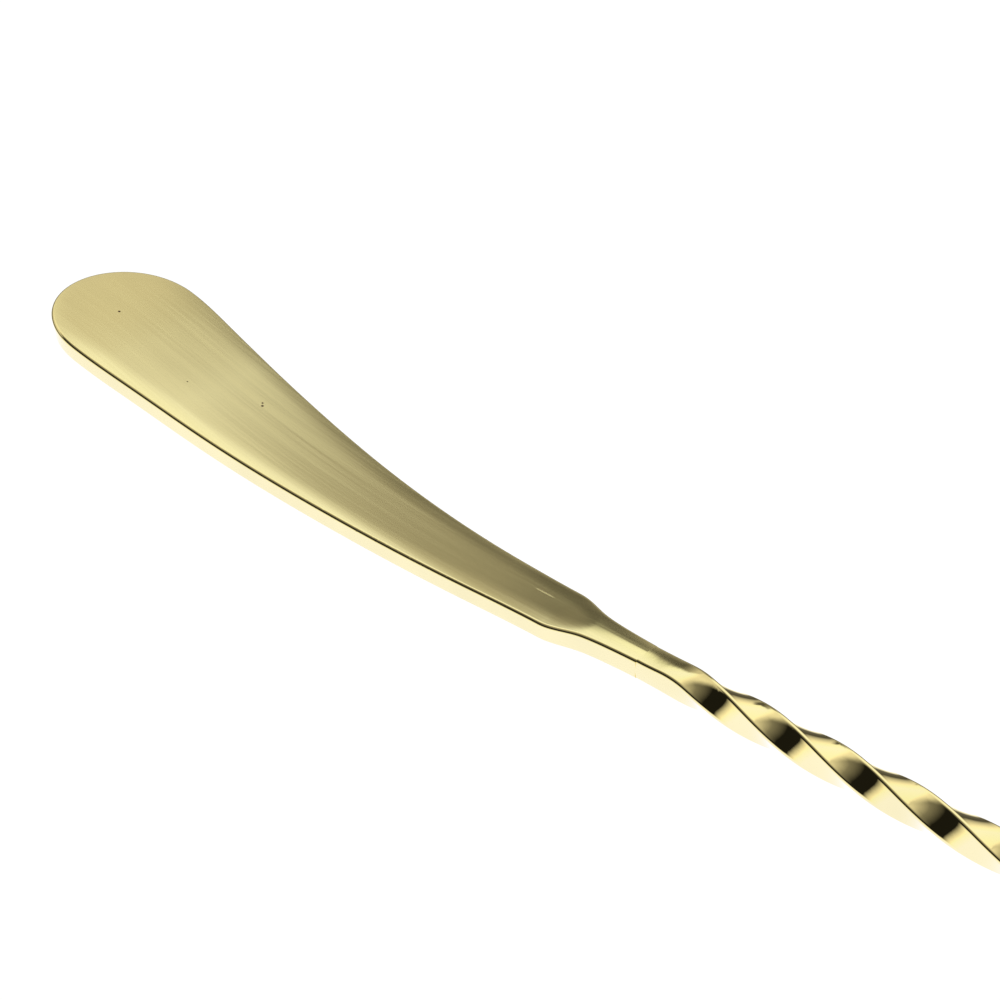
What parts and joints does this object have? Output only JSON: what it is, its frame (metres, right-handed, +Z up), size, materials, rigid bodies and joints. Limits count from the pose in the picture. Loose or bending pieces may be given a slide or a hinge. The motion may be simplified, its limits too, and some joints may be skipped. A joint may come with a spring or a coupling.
{
  "type": "bar spoon",
  "caption": "Long bar spoon with a flat upswept paddle end, a right-hand twisted square stem and a small oval bowl, in pale gold plate.",
  "frame": {"origin": "middle of the bounding box's floor, level with the underside of the bowl", "axes": "+X along the stem from the paddle to the bowl, +Z up out of the bowl's mouth"},
  "size_m": [0.3224, 0.027, 0.0193],
  "materials": {
    "satin_plate": "satin, finely brushed lengthwise, pale gold plate",
    "polished_plate": "mirror polished, pale gold plate",
    "braze_filler": "polished flush and plated with the rest"
  },
  "bodies": {
    "root": {"paddle_end": "satin_plate", "twisted_stem": "polished_plate", "spoon_bowl": "polished_plate", "paddle_braze_seam": "braze_filler", "bowl_braze_seam": "braze_filler"}
  },
  "joints": []
}
